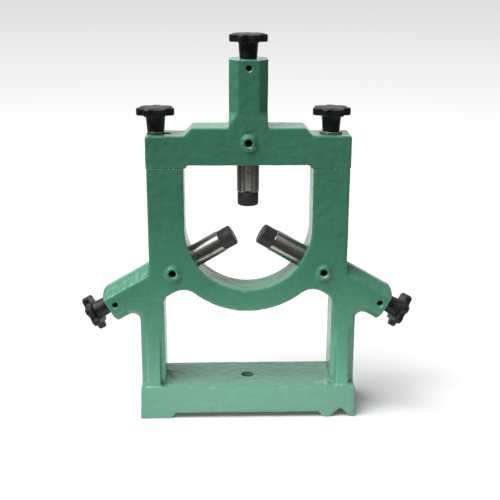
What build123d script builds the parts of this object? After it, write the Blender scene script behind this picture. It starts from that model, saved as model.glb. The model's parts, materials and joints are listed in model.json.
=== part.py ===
from build123d import *
import math
import os

# A three-jaw lathe steady rest in millimetres. +Z is up, -Y is the front, and the origin lies under the
# middle of the base. The work axis runs along Y at the centre height. Each jaw has its own axis, which
# starts on the work axis, and distances along a jaw are measured from there.

# Work opening and frame
centre_height = 315.0
opening_radius = 100.0
frame_depth = 60.0
ring_wall = 36.5
upright_width = 59.0
upright_height = 100.0

# Legs and gusset ribs
leg_inset = 24.0
leg_step = 17.0
leg_chamfer = 4.5
arch_depth = 30.5
arch_ring_fillet = 28.0
arch_leg_fillet = 14.0
rib_width = 22.0
rib_rise = 104.0
rib_setback = 4.0
rib_from_edge = 10.5

# Base plate, flat foot and V foot
base_depth = 104.0
base_height = 47.5
base_draft = 2.0
foot_height = 8.0
foot_slope = 6.0
flat_foot_width = 53.0
vee_foot_width = 55.0
vee_half_width = 15.5
vee_from_edge = 25.5
base_hole_diameter = 21.0

# Jaw arms and tower
tower_length = 165.0
tower_width = 61.0
tower_chamfer = 14.0
arm_length = 160.0
arm_width = 57.0
arm_top_chamfer = 13.5
arm_top_chamfer_depth = 22.0
arm_low_chamfer = 12.0
arm_end_round = 10.0
arm_top_fillet = 5.0
arm_leg_fillet = 12.0
lower_jaw_angle = 30.0

# Bridge over the uprights
bridge_overhang = 1.0
bridge_end_height = 51.0
bridge_raise = 12.5
bridge_slope = 11.5
bridge_raise_inset = 12.0
bridge_pad_height = 4.0
bridge_pad_round = 3.5
bridge_corner_round = 3.0
tower_flare_height = 18.0
tower_flare_start = 4.5
tower_root_chamfer = 0.6

# Bosses of the key screws and holes of the retaining screws
boss_inside = 40.0
boss_diameter = 26.0
boss_height = 5.0
boss_round = 3.5
key_hole_diameter = 12.0
key_hole_chamfer = 1.0
retaining_hole_diameter = 9.2
retaining_setback = 12.0

# Jaw quills and their tips; each jaw stands back a little from its innermost place
quill_diameter = 36.0
quill_chamfer = 1.0
tip_diameter = 33.5
tip_length = 22.0
tip_round = 3.0
spigot_diameter = 20.0
spigot_length = 10.0
keyway_width = 9.0
keyway_depth = 4.0
keyway_end_wall = 5.5
top_back_off = 23.0
left_back_off = 14.0
right_back_off = 10.5

# Lead screws
bore_depth = 142.0
screw_diameter = 16.0
screw_chamfer = 1.5
screw_inner_gap = 1.0
collar_diameter = 28.0
collar_width = 4.0
groove_width = 5.4
groove_depth = 2.0

# Set screws
key_screw_recess = 10.0
retaining_screw_recess = 8.0
key_socket = 6.0
retaining_socket = 5.0
socket_depth = 4.0

# Star knobs with their threaded inserts
knob_diameter = 60.0
knob_lobes = 7
hub_height = 23.0
hub_foot_diameter = 27.2
hub_head_diameter = 30.4
knob_rim_height = 11.5
knob_rim_lift = 2.0
knob_rim_round = 3.0
knob_dome_height = 2.0
scallop_radius = 8.5
scallop_offset = 4.2
lobe_round = 3.0
insert_diameter = 18.0
insert_length = 20.0
stud_diameter = 12.0

# Clamping of the bridge
right_clamp_inset = 29.5
left_clamp_inset = 43.5
clamp_hole_diameter = 15.0
slot_back = 8.0
slot_front = 17.0
stud_grip = 28.0
stud_hole_spare = 10.0
left_washer_diameter = 27.0
right_washer_diameter = 36.0
washer_thickness = 3.0

# Clearances
running_gap = 0.05
thread_gap = 0.1
seat_gap = 0.2
dog_gap = 0.4
collar_gap = 1.0
cut_spare = 8.0

# Sizes that follow
half_depth = frame_depth / 2
ring_outer = opening_radius + ring_wall
upright_outer = opening_radius + upright_width
leg_inner = upright_outer - leg_inset
leg_outer = upright_outer + leg_step
base_top = foot_height + base_height
base_level = base_top - centre_height
half_arm = arm_width / 2
tower_reach = opening_radius + tower_length
arm_reach = opening_radius + arm_length
key_distance = opening_radius + boss_inside
bore_end = opening_radius + bore_depth
collar_start = bore_end - collar_width
quill_length = collar_start - collar_gap - opening_radius
jaw_travel = quill_length - keyway_end_wall - keyway_width / 2 - boss_inside
innermost = opening_radius - jaw_travel
bore_radius = quill_diameter / 2 + running_gap
shank_radius = screw_diameter / 2 + running_gap
keyway_floor = quill_diameter / 2 - keyway_depth
screw_inner_end = opening_radius + tip_length + spigot_length + screw_inner_gap
bridge_half_width = upright_outer + bridge_overhang
bridge_end_top = upright_height + bridge_end_height
bridge_top = bridge_end_top + bridge_raise
right_clamp_x = opening_radius + right_clamp_inset
left_clamp_x = -opening_radius - left_clamp_inset
clamp_seat = bridge_end_top + washer_thickness + seat_gap
knob_rim_low = hub_height + knob_rim_lift
knob_rim_high = knob_rim_low + knob_rim_height
knob_height = knob_rim_high + knob_dome_height
past_all = 4 * tower_reach

work_plane = Plane((0, 0, centre_height), x_dir=(1, 0, 0), z_dir=(0, -1, 0))
jaw_angles = {"top": 90.0, "left": 180.0 + lower_jaw_angle, "right": -lower_jaw_angle}
tip_distances = {
    "top": innermost + top_back_off,
    "left": innermost + left_back_off,
    "right": innermost + right_back_off,
}
jaw_reaches = {"top": tower_reach, "left": arm_reach, "right": arm_reach}
retaining_distances = {jaw: reach - retaining_setback for jaw, reach in jaw_reaches.items()}


def jaw_place(jaw):
    """Location whose Z axis is the jaw's axis, with the front of the object on its -Y side."""
    angle = math.radians(jaw_angles[jaw])
    along = (math.cos(angle), 0, math.sin(angle))
    across = (math.sin(angle), 0, -math.cos(angle))
    return Plane((0, 0, centre_height), x_dir=across, z_dir=along).location


def upright_place(x, z):
    """Location on the middle plane, at a height measured from the work axis."""
    return Location((x, 0, centre_height + z))


def rod(radius, start, end):
    """Cylinder about Z between two heights."""
    return Pos(0, 0, start) * Cylinder(radius, end - start, align=(Align.CENTER, Align.CENTER, Align.MIN))


def front_rod(radius, along, outer, inner):
    """Cylinder towards -Y between two distances from the jaw's axis."""
    place = Pos(0, -inner, along) * Rot(90, 0, 0)
    return place * Cylinder(radius, outer - inner, align=(Align.CENTER, Align.CENTER, Align.MIN))


def turned(*points):
    """Solid of revolution about Z from (radius, height) points."""
    return revolve(Plane.XZ * make_face(Polyline(*points, close=True)), Axis.Z)


def rounded_at(sketch, x, y, radius):
    """The sketch with the corner nearest to a point rounded."""
    corner = min(sketch.vertices(), key=lambda v: math.hypot(v.X - x, v.Y - y))
    return fillet(corner, radius)


def jaw_cuts(jaw):
    """Quill bore, screw hole, key hole and retaining hole of one jaw."""
    bore = rod(bore_radius, 0, bore_end)
    shank = rod(shank_radius, bore_end, jaw_reaches[jaw] + cut_spare)
    key = front_rod(key_hole_diameter / 2, key_distance, half_depth + boss_height + cut_spare, 0)
    mouth = Pos(0, -half_depth - boss_height, key_distance) * Rot(90, 0, 0) * Cone(
        key_hole_diameter / 2,
        key_hole_diameter / 2 + 2 * key_hole_chamfer,
        2 * key_hole_chamfer,
    )
    retaining = front_rod(
        retaining_hole_diameter / 2, retaining_distances[jaw], half_depth + cut_spare, 0
    )
    return jaw_place(jaw) * (bore + shank + key + mouth + retaining)


def key_boss(jaw):
    """Raised round boss with a rounded rim, on the front face over the jaw's axis."""
    boss = front_rod(boss_diameter / 2, key_distance, half_depth + boss_height, half_depth - boss_height)
    rim = boss.edges().sort_by(Axis.Y)[0]
    return jaw_place(jaw) * fillet(rim, boss_round)


def arm_line(x, offset):
    """Height, at a distance from the middle, of a line beside the right arm's axis at an offset above it."""
    slant = math.radians(lower_jaw_angle)
    return (offset - x * math.sin(slant)) / math.cos(slant)


def frame_outline():
    """Outline of ring, uprights, legs and arms about the work axis, with its rounded corners."""
    slant = math.radians(lower_jaw_angle)
    outline = Circle(ring_outer)
    web_reach = ((leg_inner + leg_outer) / 2 + arch_depth * math.sin(slant)) / math.cos(slant)
    for side in (1, -1):
        upright_low = arm_line(upright_outer, half_arm) - half_arm
        upright = Pos(side * (opening_radius + upright_width / 2), upright_low) * Rectangle(
            upright_width, upright_height - upright_low, align=(Align.CENTER, Align.MIN)
        )
        leg_high = arm_line(leg_inner, -half_arm) + half_arm
        leg = Pos(side * (leg_inner + leg_outer) / 2, base_level - foot_height) * Rectangle(
            leg_outer - leg_inner,
            leg_high - base_level + foot_height,
            align=(Align.CENTER, Align.MIN),
        )
        arm = Rectangle(arm_reach, arm_width, align=(Align.MIN, Align.CENTER))
        web = Rectangle(web_reach, arch_depth, align=(Align.MIN, Align.MAX if side > 0 else Align.MIN))
        outline = outline + upright + leg + Rot(0, 0, 90 - side * (90 + lower_jaw_angle)) * (arm + web)
    ring_meeting = math.sqrt(ring_outer**2 - arch_depth**2)
    arch_x = ring_meeting * math.cos(slant) - arch_depth * math.sin(slant)
    end_x = arm_reach * math.cos(slant)
    end_z = -arm_reach * math.sin(slant)
    corner_x = half_arm * math.sin(slant)
    corner_z = half_arm * math.cos(slant)
    for side in (1, -1):
        corners = (
            (arch_x, arm_line(arch_x, -arch_depth), arch_ring_fillet),
            (leg_inner, arm_line(leg_inner, -arch_depth), arch_leg_fillet),
            (upright_outer, arm_line(upright_outer, half_arm), arm_top_fillet),
            (leg_outer, arm_line(leg_outer, -half_arm), arm_leg_fillet),
            (end_x + corner_x, end_z + corner_z, arm_end_round),
        )
        for x, z, radius in corners:
            outline = rounded_at(outline, side * x, z, radius)
    opening = Circle(opening_radius) + Rectangle(
        2 * opening_radius, 2 * ring_outer, align=(Align.CENTER, Align.MIN)
    )
    return outline - opening


def lower_edges(body):
    """Front and back edges under the arms, round their fillets and down the outside of the legs."""
    slant = math.radians(lower_jaw_angle)
    run = arm_leg_fillet / math.tan(math.radians(45) - slant / 2)
    fillet_z = arm_line(leg_outer, -half_arm) - run
    fillet_x = leg_outer + arm_leg_fillet
    arc_turn = math.radians(90 + lower_jaw_angle) / 2
    end_x = arm_reach * math.cos(slant) - half_arm * math.sin(slant)
    arm_x = (fillet_x + arm_leg_fillet * math.sin(slant) + end_x) / 2
    arc_x = fillet_x - arm_leg_fillet * math.cos(arc_turn)
    arc_z = fillet_z + arm_leg_fillet * math.sin(arc_turn)
    leg_z = (fillet_z + base_level - foot_height) / 2
    targets = []
    for side in (1, -1):
        for y in (-half_depth, half_depth):
            targets.append((side * arm_x, y, arm_line(arm_x, -half_arm)))
            targets.append((side * arc_x, y, arc_z))
            targets.append((side * leg_outer, y, leg_z))
    chosen = []
    for x, y, z in targets:
        spot = Vector(x, y, centre_height + z)
        chosen.append(min(body.edges(), key=lambda e: (e.position_at(0.5) - spot).length))
    return chosen


def arm_top_cut(side):
    """Wedges that take the upper corners off one arm, up to the wall of its upright."""
    wedge = make_face(
        Polyline(
            (half_arm - arm_top_chamfer, half_depth),
            (half_arm + arm_top_chamfer, half_depth - 2 * arm_top_chamfer_depth),
            (half_arm + arm_top_chamfer, half_depth),
            close=True,
        )
    )
    both = wedge + mirror(wedge, Plane.XZ)
    jaw = "right" if side > 0 else "left"
    up = Rot(0, 0, 180) if side > 0 else Rot(0, 0, 0)
    cut = jaw_place(jaw) * (up * extrude(both, amount=arm_reach + cut_spare))
    outside = Pos(side * upright_outer, 0, centre_height) * Box(
        past_all,
        past_all,
        past_all,
        align=(Align.MIN if side > 0 else Align.MAX, Align.CENTER, Align.CENTER),
    )
    return cut & outside


def leg_edge(side):
    """Outer strip of one leg, flush with the front and the back, from the base up into the arm."""
    width = 2 * arm_low_chamfer
    strip = Rectangle(width, frame_depth)
    outer = strip.vertices().sort_by(Axis.X)[2:] if side > 0 else strip.vertices().sort_by(Axis.X)[:2]
    top = centre_height + arm_line(leg_outer, 0)
    return Pos(side * (leg_outer - width / 2), 0, foot_height) * extrude(
        chamfer(outer, leg_chamfer), top - foot_height
    )


def base_plate():
    """Plate with a flat foot on the left, a V foot on the right and slightly sloped ends."""
    half_top = leg_outer
    half_foot = leg_outer + base_draft
    vee_x = half_foot - vee_from_edge
    flat_end = flat_foot_width - half_foot
    vee_start = half_foot - vee_foot_width
    outline = make_face(
        Polyline(
            (-half_foot, 0),
            (flat_end, 0),
            (flat_end + foot_slope, foot_height),
            (vee_start - foot_slope, foot_height),
            (vee_start, 0),
            (vee_x - vee_half_width, 0),
            (vee_x, vee_half_width),
            (vee_x + vee_half_width, 0),
            (half_foot, 0),
            (half_top, base_top),
            (-half_top, base_top),
            close=True,
        )
    )
    plate = extrude(Plane.XZ * outline, amount=base_depth / 2, both=True)
    return plate - rod(base_hole_diameter / 2, 0, base_top + cut_spare)


def gusset_ribs():
    """Ribs on the front and back of both legs, which flare out to the edges of the base."""
    reach = base_depth / 2 - rib_setback
    rib = make_face(
        Polyline(
            (-half_depth, base_top + rib_rise),
            (-reach, base_top),
            (reach, base_top),
            (half_depth, base_top + rib_rise),
            close=True,
        )
    )
    middle = leg_outer - rib_from_edge - rib_width / 2
    one = extrude(Plane.YZ * rib, amount=rib_width / 2, both=True)
    return Pos(middle, 0, 0) * one + Pos(-middle, 0, 0) * one


def make_base_frame():
    """The lower casting: base, legs, ring, uprights and the two lower jaw arms."""
    body = extrude(work_plane * frame_outline(), amount=half_depth, both=True)
    body = chamfer(lower_edges(body), arm_low_chamfer)
    body = body - arm_top_cut(1) - arm_top_cut(-1)
    body = body + leg_edge(1) + leg_edge(-1)
    body = body & Pos(0, 0, foot_height) * Box(
        past_all, past_all, past_all, align=(Align.CENTER, Align.CENTER, Align.MIN)
    )
    body = body + base_plate() + gusset_ribs()
    for jaw in ("left", "right"):
        body = body + key_boss(jaw)
    for jaw in ("left", "right"):
        body = body - jaw_cuts(jaw)
    hole_depth = stud_grip + stud_hole_spare
    for x in (left_clamp_x, right_clamp_x):
        hole = rod(stud_diameter / 2 + thread_gap, -hole_depth, cut_spare)
        body = body - upright_place(x, upright_height) * hole
    return body


def tower_section(corner_cut):
    """Cross-section of the tower with its four corners taken off."""
    return chamfer(Rectangle(tower_width, frame_depth).vertices(), corner_cut)


def bridge_outline():
    """Outline of the bridge about the work axis, with its end pads and sloped shoulders."""
    raise_half = opening_radius - bridge_raise_inset
    shoulder = raise_half + bridge_slope
    underside = upright_height + bridge_pad_height
    pad_inner = opening_radius - bridge_pad_round
    outline = make_face(
        Polyline(
            (-bridge_half_width, upright_height),
            (-pad_inner, upright_height),
            (-pad_inner, underside),
            (pad_inner, underside),
            (pad_inner, upright_height),
            (bridge_half_width, upright_height),
            (bridge_half_width, bridge_end_top),
            (shoulder, bridge_end_top),
            (raise_half, bridge_top),
            (-raise_half, bridge_top),
            (-shoulder, bridge_end_top),
            (-bridge_half_width, bridge_end_top),
            close=True,
        )
    )
    for side in (1, -1):
        outline = rounded_at(outline, side * pad_inner, underside, bridge_pad_round)
        outline = rounded_at(outline, side * bridge_half_width, bridge_end_top, bridge_corner_round)
        outline = rounded_at(outline, side * shoulder, bridge_end_top, bridge_corner_round)
        outline = rounded_at(outline, side * raise_half, bridge_top, bridge_corner_round)
    return outline


def make_top_bridge():
    """The upper casting: beam, tower and boss, with a round clamp hole and a clamp slot."""
    body = extrude(work_plane * bridge_outline(), amount=half_depth, both=True)
    flare_low = bridge_top + tower_flare_start
    flare_high = flare_low + tower_flare_height
    root = extrude(Pos(0, 0, bridge_end_top) * tower_section(tower_root_chamfer), flare_low - bridge_end_top)
    flare = loft(
        [
            Pos(0, 0, flare_low) * tower_section(tower_root_chamfer),
            Pos(0, 0, flare_high) * tower_section(tower_chamfer),
        ],
        ruled=True,
    )
    shaft = extrude(Pos(0, 0, flare_high) * tower_section(tower_chamfer), tower_reach - flare_high)
    body = body + upright_place(0, 0) * (root + flare + shaft)
    body = body + key_boss("top")
    body = body - jaw_cuts("top")
    cut_length = bridge_end_height + 2 * cut_spare
    round_hole = rod(clamp_hole_diameter / 2, 0, cut_length)
    body = body - upright_place(right_clamp_x, upright_height - cut_spare) * round_hole
    slot = SlotCenterToCenter(slot_back + slot_front, clamp_hole_diameter)
    slot_middle = left_clamp_x + (slot_front - slot_back) / 2
    return body - upright_place(slot_middle, upright_height - cut_spare) * extrude(slot, cut_length)


def make_quill(jaw):
    """Steel jaw: a sleeve bored for the screw and the tip, with a keyway along its front."""
    start = tip_distances[jaw] + tip_length
    end = tip_distances[jaw] + quill_length
    radius = quill_diameter / 2
    body = turned(
        (0, start),
        (radius - quill_chamfer, start),
        (radius, start + quill_chamfer),
        (radius, end - quill_chamfer),
        (radius - quill_chamfer, end),
        (0, end),
    )
    body = body - rod(screw_diameter / 2 + thread_gap, start, end)
    body = body - rod(spigot_diameter / 2, start, start + spigot_length)
    keyway_end = end - keyway_end_wall
    keyway = Pos(0, -keyway_floor, start) * Box(
        keyway_width,
        quill_diameter,
        keyway_end - keyway_width / 2 - start,
        align=(Align.CENTER, Align.MAX, Align.MIN),
    )
    run_out = front_rod(keyway_width / 2, keyway_end - keyway_width / 2, quill_diameter, keyway_floor)
    return jaw_place(jaw) * (body - keyway - run_out)


def make_tip(jaw):
    """Wear tip with a rounded working edge and a spigot in the end of the quill."""
    face = tip_distances[jaw]
    nose = rod(tip_diameter / 2, face, face + tip_length)
    nose = fillet(nose.edges().sort_by(Axis.Z)[0], tip_round)
    spigot = rod(spigot_diameter / 2, face + tip_length, face + tip_length + spigot_length)
    return jaw_place(jaw) * (nose + spigot)


def make_screw(jaw):
    """Lead screw with a thrust collar, a groove for the retaining screw and a stud for the knob."""
    radius = screw_diameter / 2
    groove_middle = retaining_distances[jaw]
    shank_end = jaw_reaches[jaw] - seat_gap
    stud_end = jaw_reaches[jaw] + seat_gap + insert_length
    return jaw_place(jaw) * turned(
        (0, screw_inner_end),
        (radius - screw_chamfer, screw_inner_end),
        (radius, screw_inner_end + screw_chamfer),
        (radius, collar_start),
        (collar_diameter / 2, collar_start),
        (collar_diameter / 2, bore_end - running_gap),
        (radius, bore_end - running_gap),
        (radius, groove_middle - groove_width / 2),
        (radius - groove_depth, groove_middle - groove_width / 2),
        (radius - groove_depth, groove_middle + groove_width / 2),
        (radius, groove_middle + groove_width / 2),
        (radius, shank_end),
        (stud_diameter / 2, shank_end),
        (stud_diameter / 2, stud_end),
        (0, stud_end),
    )


def set_screw(radius, outer, inner, dog_radius, dog_end, socket):
    """Socket set screw with a dog point, along the front of a jaw's axis."""
    body = front_rod(radius, 0, outer, inner)
    point = front_rod(dog_radius, 0, inner, dog_end)
    hexagon = RegularPolygon(socket / 2, 6, major_radius=False)
    recess = Pos(0, -outer, 0) * Rot(90, 0, 0) * extrude(hexagon, amount=-socket_depth)
    return body + point - recess


def make_key_screw(jaw):
    """Set screw in the boss, whose dog point runs in the keyway of the quill."""
    screw = set_screw(
        key_hole_diameter / 2 - running_gap,
        half_depth + boss_height - key_screw_recess,
        quill_diameter / 2 + dog_gap,
        keyway_width / 2 - seat_gap,
        keyway_floor + dog_gap,
        key_socket,
    )
    return jaw_place(jaw) * Pos(0, 0, key_distance) * screw


def make_retaining_screw(jaw):
    """Set screw near the knob, whose dog point holds the groove of the lead screw."""
    screw = set_screw(
        retaining_hole_diameter / 2 - running_gap,
        half_depth - retaining_screw_recess,
        screw_diameter / 2 + dog_gap,
        groove_width / 2 - seat_gap,
        screw_diameter / 2 - groove_depth + dog_gap,
        retaining_socket,
    )
    return jaw_place(jaw) * Pos(0, 0, retaining_distances[jaw]) * screw


def star_outline():
    """Outline of the knob's head: a disc with a rounded lobe between each two scallops."""
    outline = Circle(knob_diameter / 2)
    scallops = PolarLocations(knob_diameter / 2 + scallop_offset, knob_lobes)
    outline = outline - scallops * Circle(scallop_radius)
    return fillet(outline.vertices(), lobe_round)


def star_knob():
    """Star knob standing on its hub: tapered hub, lobed head with a low dome, and a blind hole."""
    radius = knob_diameter / 2
    hub_head = hub_head_diameter / 2
    face_radius = radius - knob_rim_round
    dome_radius = (face_radius**2 + knob_dome_height**2) / (2 * knob_dome_height)
    rim = Line((radius, knob_rim_low + knob_rim_round), (radius, knob_rim_high - knob_rim_round))
    lower = RadiusArc((face_radius, knob_rim_low), rim @ 0, -knob_rim_round)
    upper = RadiusArc(rim @ 1, (face_radius, knob_rim_high), -knob_rim_round)
    under = Line((hub_head, hub_height), lower @ 0)
    dome = RadiusArc(upper @ 1, (0, knob_height), -dome_radius)
    rest = Polyline((0, knob_height), (0, hub_height), (hub_head, hub_height))
    profile = make_face([rim, lower, upper, under, dome, rest])
    form = revolve(Plane.XZ * profile, Axis.Z)
    head = form & extrude(star_outline(), knob_height)
    hub = turned((0, 0), (hub_foot_diameter / 2, 0), (hub_head, hub_height), (0, hub_height))
    return head + hub - rod(insert_diameter / 2, 0, insert_length)


def knob_insert():
    """Threaded steel insert that fills the hole in the knob's hub."""
    return rod(insert_diameter / 2, 0, insert_length) - rod(
        stud_diameter / 2 + running_gap, 0, insert_length
    )


def clamp_stud():
    """Stud of a clamp knob, from inside its hub down into the upright."""
    low = -stud_grip
    high = clamp_seat - upright_height + insert_length
    radius = stud_diameter / 2
    return turned(
        (0, low),
        (radius - screw_chamfer, low),
        (radius, low + screw_chamfer),
        (radius, high),
        (0, high),
    )


def washer(diameter):
    """Plain washer under a clamp knob."""
    return rod(diameter / 2, 0, washer_thickness) - rod(
        stud_diameter / 2 + seat_gap, 0, washer_thickness
    )


parts = {"base_frame": make_base_frame(), "top_bridge": make_top_bridge()}
quarter_turn = Rot(0, 0, 90)
for jaw in jaw_angles:
    knob_place = jaw_place(jaw) * Pos(0, 0, jaw_reaches[jaw] + seat_gap) * quarter_turn
    parts[f"{jaw}_quill"] = make_quill(jaw)
    parts[f"{jaw}_tip"] = make_tip(jaw)
    parts[f"{jaw}_screw"] = make_screw(jaw)
    parts[f"{jaw}_key_screw"] = make_key_screw(jaw)
    parts[f"{jaw}_retaining_screw"] = make_retaining_screw(jaw)
    parts[f"{jaw}_knob"] = knob_place * star_knob()
    parts[f"{jaw}_knob_insert"] = knob_place * knob_insert()
clamps = {
    "clamp_left": (left_clamp_x, left_washer_diameter),
    "clamp_right": (right_clamp_x, right_washer_diameter),
}
for clamp, (x, washer_diameter) in clamps.items():
    parts[f"{clamp}_knob"] = upright_place(x, clamp_seat) * quarter_turn * star_knob()
    parts[f"{clamp}_insert"] = upright_place(x, clamp_seat) * knob_insert()
    parts[f"{clamp}_stud"] = upright_place(x, upright_height) * clamp_stud()
    parts[f"{clamp}_washer"] = upright_place(x, bridge_end_top) * washer(washer_diameter)

os.makedirs("parts", exist_ok=True)
for name, shape in parts.items():
    export_step(shape, f"parts/{name}.step")
    print(name, round(shape.volume))
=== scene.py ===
# %% [markdown]
# A lathe steady rest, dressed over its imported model. The frame brings every rigid piece at its real size,
# in metres, with +Z up and the front on the -Y side. This lesson adds what a casting, a moulded knob and
# ground steel look like: softened edges, uneven paint, threads, grain and light.

# %% Load the frame
import json
import math

import bmesh
import bpy
from mathutils import Matrix, Quaternion, Vector


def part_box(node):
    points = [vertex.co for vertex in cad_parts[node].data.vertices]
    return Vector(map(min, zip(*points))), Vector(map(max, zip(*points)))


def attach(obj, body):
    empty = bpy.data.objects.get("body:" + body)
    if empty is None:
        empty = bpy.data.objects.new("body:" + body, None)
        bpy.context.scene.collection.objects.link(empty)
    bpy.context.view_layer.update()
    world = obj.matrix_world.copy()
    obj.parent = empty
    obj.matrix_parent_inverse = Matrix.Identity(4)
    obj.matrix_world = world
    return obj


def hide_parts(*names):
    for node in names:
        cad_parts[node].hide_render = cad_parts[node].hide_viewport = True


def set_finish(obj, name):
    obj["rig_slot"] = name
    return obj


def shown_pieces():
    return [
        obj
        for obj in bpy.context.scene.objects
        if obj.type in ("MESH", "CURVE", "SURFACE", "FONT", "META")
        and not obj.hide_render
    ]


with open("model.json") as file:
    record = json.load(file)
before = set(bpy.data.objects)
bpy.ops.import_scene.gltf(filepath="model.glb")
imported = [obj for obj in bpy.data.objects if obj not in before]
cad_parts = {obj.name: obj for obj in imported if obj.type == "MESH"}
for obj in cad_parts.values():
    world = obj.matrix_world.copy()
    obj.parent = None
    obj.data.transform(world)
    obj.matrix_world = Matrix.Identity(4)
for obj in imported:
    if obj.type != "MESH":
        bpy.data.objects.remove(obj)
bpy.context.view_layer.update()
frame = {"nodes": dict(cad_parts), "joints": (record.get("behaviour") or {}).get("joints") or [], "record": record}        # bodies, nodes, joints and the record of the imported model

# %% [markdown]
# Sizes are read from the frame wherever a node or a joint holds them, so that a new pack moves the looks
# with it. Each jaw has its own axis through the work axis, which the joints state, and the insert of its
# knob tells how far the casting reaches along that axis.

# %% Measures taken from the frame
JAWS = ("top", "left", "right")
CLAMPS = ("clamp_left", "clamp_right")
MM = 0.001
joints = {joint["name"]: joint for joint in frame["joints"]}
work_axis = Vector(joints["top_knob_turn"]["pos_m"])
jaw_direction = {jaw: Vector(joints[f"{jaw}_knob_turn"]["axis"]).normalized() for jaw in JAWS}


def middle(node):
    """Middle of a node's box."""
    low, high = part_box(node)
    return (low + high) / 2


def size(node):
    """Lengths of a node's box."""
    low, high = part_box(node)
    return high - low


def along(jaw, node):
    """Distance of a node's middle along a jaw's axis."""
    return (middle(node) - work_axis).dot(jaw_direction[jaw])


split_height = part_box("top_bridge")[0].z
pad_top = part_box("clamp_left_washer")[0].z
half_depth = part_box("top_bridge")[1].y
boss_face = -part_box("top_bridge")[0].y
quill_radius = size("top_quill").x / 2
key_radius = size("top_key_screw").x / 2
retaining_radius = size("top_retaining_screw").x / 2
stud_radius = size("clamp_left_stud").x / 2
insert_length = size("top_knob_insert").z
seat_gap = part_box("top_knob")[0].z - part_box("top_bridge")[1].z
jaw_reach = {jaw: along(jaw, f"{jaw}_knob_insert") - insert_length / 2 - seat_gap for jaw in JAWS}
print("split at", round(split_height, 4), "reach", {jaw: round(v, 4) for jaw, v in jaw_reach.items()})


def jaw_place(jaw):
    """Matrix whose Z axis is the jaw's axis, with the front on its -Y side."""
    back = Vector((0, 1, 0))
    axis = jaw_direction[jaw]
    turn = Matrix((back.cross(axis), back, axis)).transposed().to_4x4()
    return Matrix.Translation(work_axis) @ turn


def front_place(node):
    """Matrix whose Z axis points out of the front, through the middle of a node."""
    spot = middle(node)
    return Matrix.Translation((spot.x, 0, spot.z)) @ Matrix.Rotation(math.radians(90), 4, "X")


def upright_place(node):
    """Matrix at the split, over the middle of a node."""
    return Matrix.Translation((middle(node).x, 0, split_height))


# %% [markdown]
# Operators act on whatever is selected, and the imported nodes arrive selected. A few small helpers keep
# the selection clean: one picks a single piece, one selects parts of it by place, and one applies a
# modifier so that the finished mesh is plain geometry.

# %% Helpers for selecting and finishing
ROUND_SIDES = 64
MERGE_DISTANCE = 0.01 * MM


def deselect():
    """Goes to object mode with nothing selected."""
    if bpy.context.object and bpy.context.object.mode != "OBJECT":
        bpy.ops.object.mode_set(mode="OBJECT")
    bpy.ops.object.select_all(action="DESELECT")


def pick(piece):
    """Makes one piece the only selected and active one, in object mode."""
    deselect()
    piece.select_set(True)
    bpy.context.view_layer.objects.active = piece


def select_faces(piece, test):
    """Goes to edit mode with the faces selected whose centre and normal pass the test."""
    pick(piece)
    bpy.ops.object.mode_set(mode="EDIT")
    bpy.ops.mesh.select_mode(type="FACE")
    bpy.ops.mesh.select_all(action="DESELECT")
    mesh = bmesh.from_edit_mesh(piece.data)
    for face in mesh.faces:
        face.select_set(test(face.calc_center_median(), face.normal))
    bmesh.update_edit_mesh(piece.data)


def select_points(piece, test):
    """Goes to edit mode with the vertices selected whose place passes the test."""
    pick(piece)
    bpy.ops.object.mode_set(mode="EDIT")
    bpy.ops.mesh.select_mode(type="VERT")
    bpy.ops.mesh.select_all(action="DESELECT")
    mesh = bmesh.from_edit_mesh(piece.data)
    for vertex in mesh.verts:
        vertex.select_set(test(vertex.co))
    bmesh.update_edit_mesh(piece.data)


def finish_with(piece, kind, **settings):
    """Adds a modifier with its settings and applies it."""
    modifier = piece.modifiers.new(kind.lower(), kind)
    for name, value in settings.items():
        setattr(modifier, name, value)
    pick(piece)
    bpy.ops.object.modifier_apply(modifier=modifier.name)


def new_piece(name, data):
    """A piece in the scene that carries a mesh."""
    piece = bpy.data.objects.new(name, data)
    bpy.context.scene.collection.objects.link(piece)
    return piece


def rod(radius, low, high, place, draw=0.0):
    """Closed cylinder along a place's Z axis; one half may be drawn out along X into a slot's form."""
    deselect()
    bpy.ops.mesh.primitive_cylinder_add(
        vertices=ROUND_SIDES, radius=radius, depth=high - low, location=(0, 0, (low + high) / 2)
    )
    piece = bpy.context.object
    bpy.ops.object.transform_apply(location=True, rotation=True, scale=True)
    if draw:
        select_points(piece, lambda spot: spot.x > radius / 100)
        bpy.ops.transform.translate(value=(draw, 0, 0))
        bpy.ops.object.mode_set(mode="OBJECT")
    piece.data.transform(place)
    return piece


def turned(name, profile):
    """Closed turned form about Z from (radius, height) points that start and end on the axis."""
    data = bpy.data.meshes.new(name)
    edges = [(step, step + 1) for step in range(len(profile) - 1)]
    data.from_pydata([(radius, 0, height) for radius, height in profile], edges, [])
    piece = new_piece(name, data)
    pick(piece)
    bpy.ops.object.mode_set(mode="EDIT")
    bpy.ops.mesh.select_all(action="SELECT")
    bpy.ops.mesh.spin(steps=ROUND_SIDES, angle=math.tau, center=(0, 0, 0), axis=(0, 0, 1))
    bpy.ops.mesh.select_all(action="SELECT")
    bpy.ops.mesh.remove_doubles(threshold=MERGE_DISTANCE)
    bpy.ops.mesh.normals_make_consistent(inside=False)
    bpy.ops.object.mode_set(mode="OBJECT")
    return piece


def combine(piece, other, operation):
    """Cuts another closed shape out of a piece, or adds it, and removes the other."""
    finish_with(piece, "BOOLEAN", operation=operation, object=other, solver="EXACT")
    bpy.data.objects.remove(other)


def joined(pieces):
    """Several pieces as one."""
    pick(pieces[0])
    for piece in pieces[1:]:
        piece.select_set(True)
    bpy.ops.object.join()
    return pieces[0]


def bevel(piece, width, segments, degrees):
    """Bevels the edges where a surface turns by more than an angle."""
    finish_with(piece, "BEVEL", width=width, segments=segments, limit_method="ANGLE",
                angle_limit=math.radians(degrees))


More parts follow.
